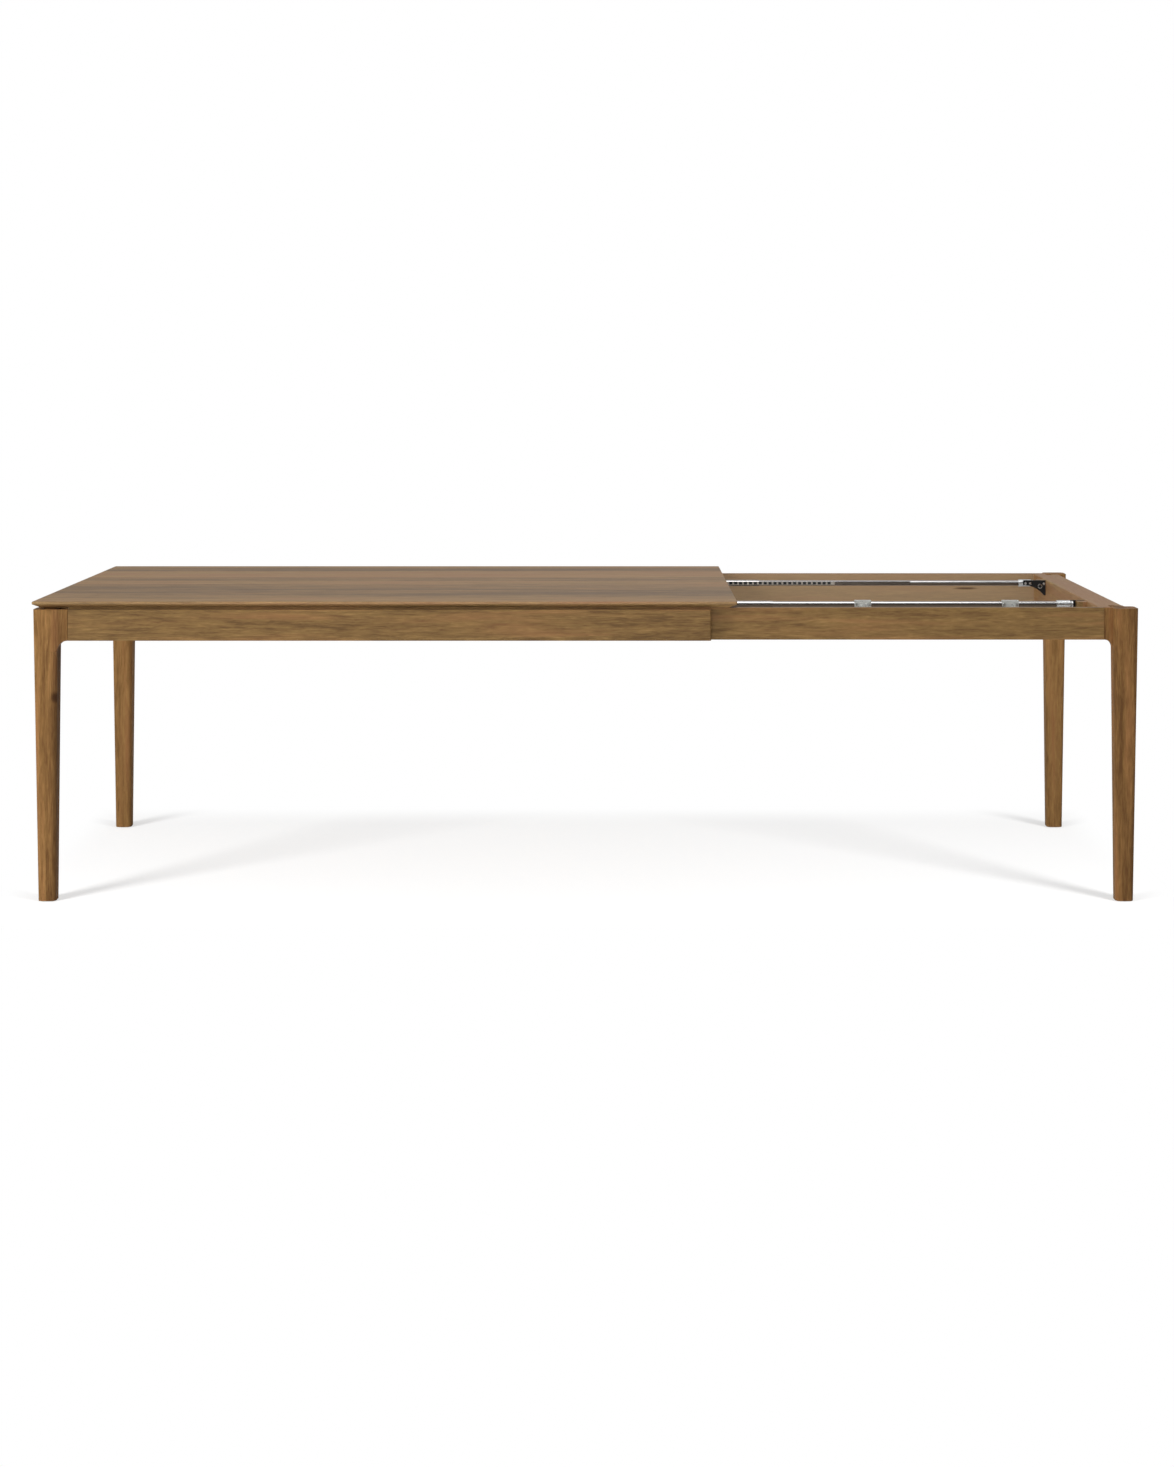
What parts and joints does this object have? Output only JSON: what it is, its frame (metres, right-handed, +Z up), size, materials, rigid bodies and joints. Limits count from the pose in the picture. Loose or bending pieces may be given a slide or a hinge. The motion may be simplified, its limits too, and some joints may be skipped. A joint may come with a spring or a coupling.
{
  "type": "extending dining table",
  "caption": "Rectangular wooden dining table that lengthens: its end frame pulls out on telescopic steel tubes and loose leaves drop into the bay.",
  "frame": {"origin": "on the floor, under the middle of the opened table", "axes": "+X along the table towards the pulled-out end frame, +Y to the back, +Z up"},
  "size_m": [2.808, 1, 0.764],
  "materials": {
    "teak": "oiled",
    "beech": "plain",
    "steel_tube": "drawn",
    "zinc_steel": "zinc plated",
    "black_steel": "powder coat",
    "grey_steel": "powder coat",
    "black_nylon": "moulded",
    "white_nylon": "moulded",
    "clear_plastic": "clear moulded"
  },
  "bodies": {
    "fixed_frame": {"table_top": "teak", "leg_front_left": "teak", "leg_back_left": "teak", "left_end_rail": "teak", "fixed_apron_front": "teak", "fixed_apron_back": "teak", "corner_block_front_left": "beech", "corner_block_back_left": "beech", "leg_bolts_left": "zinc_steel", "frame_dowels_fixed": "beech", "apron_screws": "zinc_steel", "apron_glides_fixed": "white_nylon", "foot_glides_left": "white_nylon", "outer_tube_front": "steel_tube", "outer_tube_back": "steel_tube", "tube_clamps": "black_nylon", "clamp_screws": "zinc_steel", "storage_rail_front": "grey_steel", "storage_rail_back": "grey_steel", "storage_screws": "zinc_steel", "leaf_batten": "beech"},
    "sliding_frame": {"leg_front_right": "teak", "leg_back_right": "teak", "right_end_beam": "teak", "sliding_apron_front": "teak", "sliding_apron_back": "teak", "tail_rail": "beech", "tail_screws": "zinc_steel", "frame_dowels_sliding": "beech", "apron_glides_sliding": "white_nylon", "foot_glides_right": "white_nylon", "inner_tube_front": "steel_tube", "inner_tube_back": "steel_tube", "tube_collar_front": "steel_tube", "tube_collar_back": "steel_tube", "tube_cap_front": "zinc_steel", "tube_cap_back": "zinc_steel", "gusset_front": "black_steel", "gusset_back": "black_steel", "runner_block_front": "teak", "runner_block_back": "teak", "gusset_screws": "zinc_steel", "gusset_bolts": "black_steel", "gusset_washers": "zinc_steel", "leaf_rests": "clear_plastic", "rest_screws": "zinc_steel"},
    "middle_front": {"middle_tube_front": "steel_tube", "runner_cage_front": "steel_tube", "cage_inserts_front": "black_nylon", "cage_pins_front": "zinc_steel"},
    "middle_back": {"middle_tube_back": "steel_tube", "runner_cage_back": "steel_tube", "cage_inserts_back": "black_nylon", "cage_pins_back": "zinc_steel"},
    "upper_leaf_panel": {"leaf_upper": "teak"},
    "lower_leaf_panel": {"leaf_lower": "teak"}
  },
  "joints": [
    {"name": "frame_slide", "type": "slide", "parent": "fixed_frame", "child": "sliding_frame", "axis": [1, 0, 0], "range_m": [-1.02, 0]},
    {"name": "middle_front_slide", "type": "slide", "parent": "fixed_frame", "child": "middle_front", "axis": [1, 0, 0], "range_m": [-0.8162, 0]},
    {"name": "middle_back_slide", "type": "slide", "parent": "fixed_frame", "child": "middle_back", "axis": [1, 0, 0], "range_m": [-0.8162, 0]},
    {"name": "upper_leaf_slide", "type": "slide", "parent": "fixed_frame", "child": "upper_leaf_panel", "axis": [1, 0, 0], "range_m": [0, 0.575]},
    {"name": "lower_leaf_slide", "type": "slide", "parent": "fixed_frame", "child": "lower_leaf_panel", "axis": [1, 0, 0], "range_m": [0, 0.575]}
  ],
  "couplings": [
    {"joint": "middle_front_slide", "follows": "frame_slide", "ratio": 0.8},
    {"joint": "middle_back_slide", "follows": "frame_slide", "ratio": 0.8}
  ]
}
